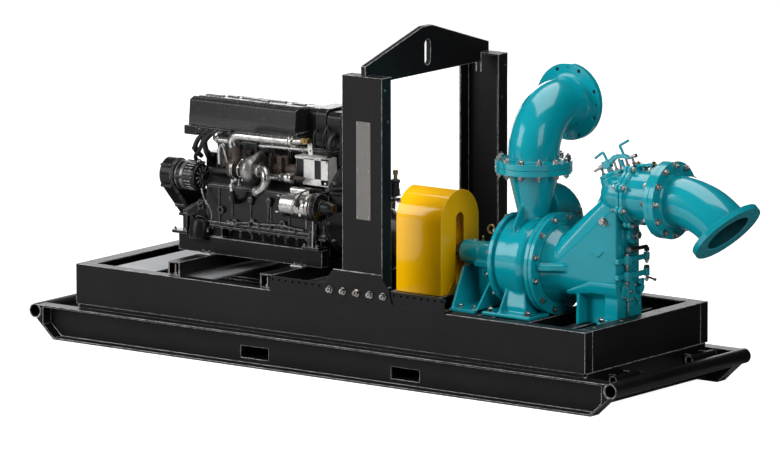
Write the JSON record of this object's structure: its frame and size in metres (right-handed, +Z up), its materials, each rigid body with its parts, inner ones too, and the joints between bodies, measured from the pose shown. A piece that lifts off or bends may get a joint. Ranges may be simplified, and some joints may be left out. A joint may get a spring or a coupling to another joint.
{
  "type": "trash pump",
  "caption": "Skid-mounted engine-driven trash pump with a large centrifugal casing, flanged suction and discharge bends and a central lifting frame.",
  "frame": {"origin": "on the floor, under the middle of the skid rails and the pump's centreline", "axes": "+X along the skid towards the suction end, +Y across towards the discharge side, +Z up"},
  "size_m": [5.0925, 1.4494, 2.162],
  "materials": {
    "pump_paint": "glossy teal enamel",
    "guard_paint": "glossy yellow enamel",
    "bare_steel": "bare, lightly brushed",
    "cast_alloy": "bare casting",
    "cast_iron": "heat-browned casting",
    "grey_plate": "flat grey",
    "engine_paint": "satin black",
    "frame_paint": "satin black, lightly textured"
  },
  "bodies": {
    "root": {"alternator": "engine_paint", "base_end_engine": "frame_paint", "base_end_pump": "frame_paint", "base_floor": "frame_paint", "base_side_far": "frame_paint", "base_side_near": "frame_paint", "bearing_housing": "pump_paint", "bearing_pedestal": "pump_paint", "belt_guard": "engine_paint", "charge_pipe": "bare_steel", "chest_foot": "pump_paint", "cleanout_clamp": "pump_paint", "coupling_guard": "guard_paint", "crank_pulley": "engine_paint", "cross_plate_front": "grey_plate", "cross_plate_middle": "grey_plate", "cross_plate_rear": "grey_plate", "cross_tube_front": "frame_paint", "cross_tube_rear": "frame_paint", "cylinder_head": "engine_paint", "discharge_elbow": "pump_paint", "discharge_riser": "pump_paint", "drain_cover": "pump_paint", "drive_shaft": "bare_steel", "engine_block": "engine_paint", "engine_rail_far": "frame_paint", "engine_rail_near": "frame_paint", "exhaust_manifold": "cast_iron", "fill_cover": "pump_paint", "flywheel_housing": "engine_paint", "fork_pocket_engine_side": "frame_paint", "fork_pocket_pump_side": "frame_paint", "gear_case": "engine_paint", "heat_shield": "bare_steel", "lift_strip_far": "frame_paint", "lift_strip_near": "frame_paint", "lifting_plate": "frame_paint", "oil_pan": "engine_paint", "post_far": "frame_paint", "post_foot_plate_far": "frame_paint", "post_foot_plate_near": "frame_paint", "post_near": "frame_paint", "pump_bed": "frame_paint", "return_chamber": "pump_paint", "skid_rail_far": "frame_paint", "skid_rail_near": "frame_paint", "starter_motor": "cast_alloy", "suction_chest": "pump_paint", "suction_cover": "pump_paint", "suction_elbow": "pump_paint", "suction_spool": "pump_paint", "top_cover": "engine_paint", "tow_pipe_engine_end": "frame_paint", "tow_pipe_pump_end": "frame_paint", "turbocharger": "cast_alloy", "volute": "pump_paint"}
  },
  "joints": []
}
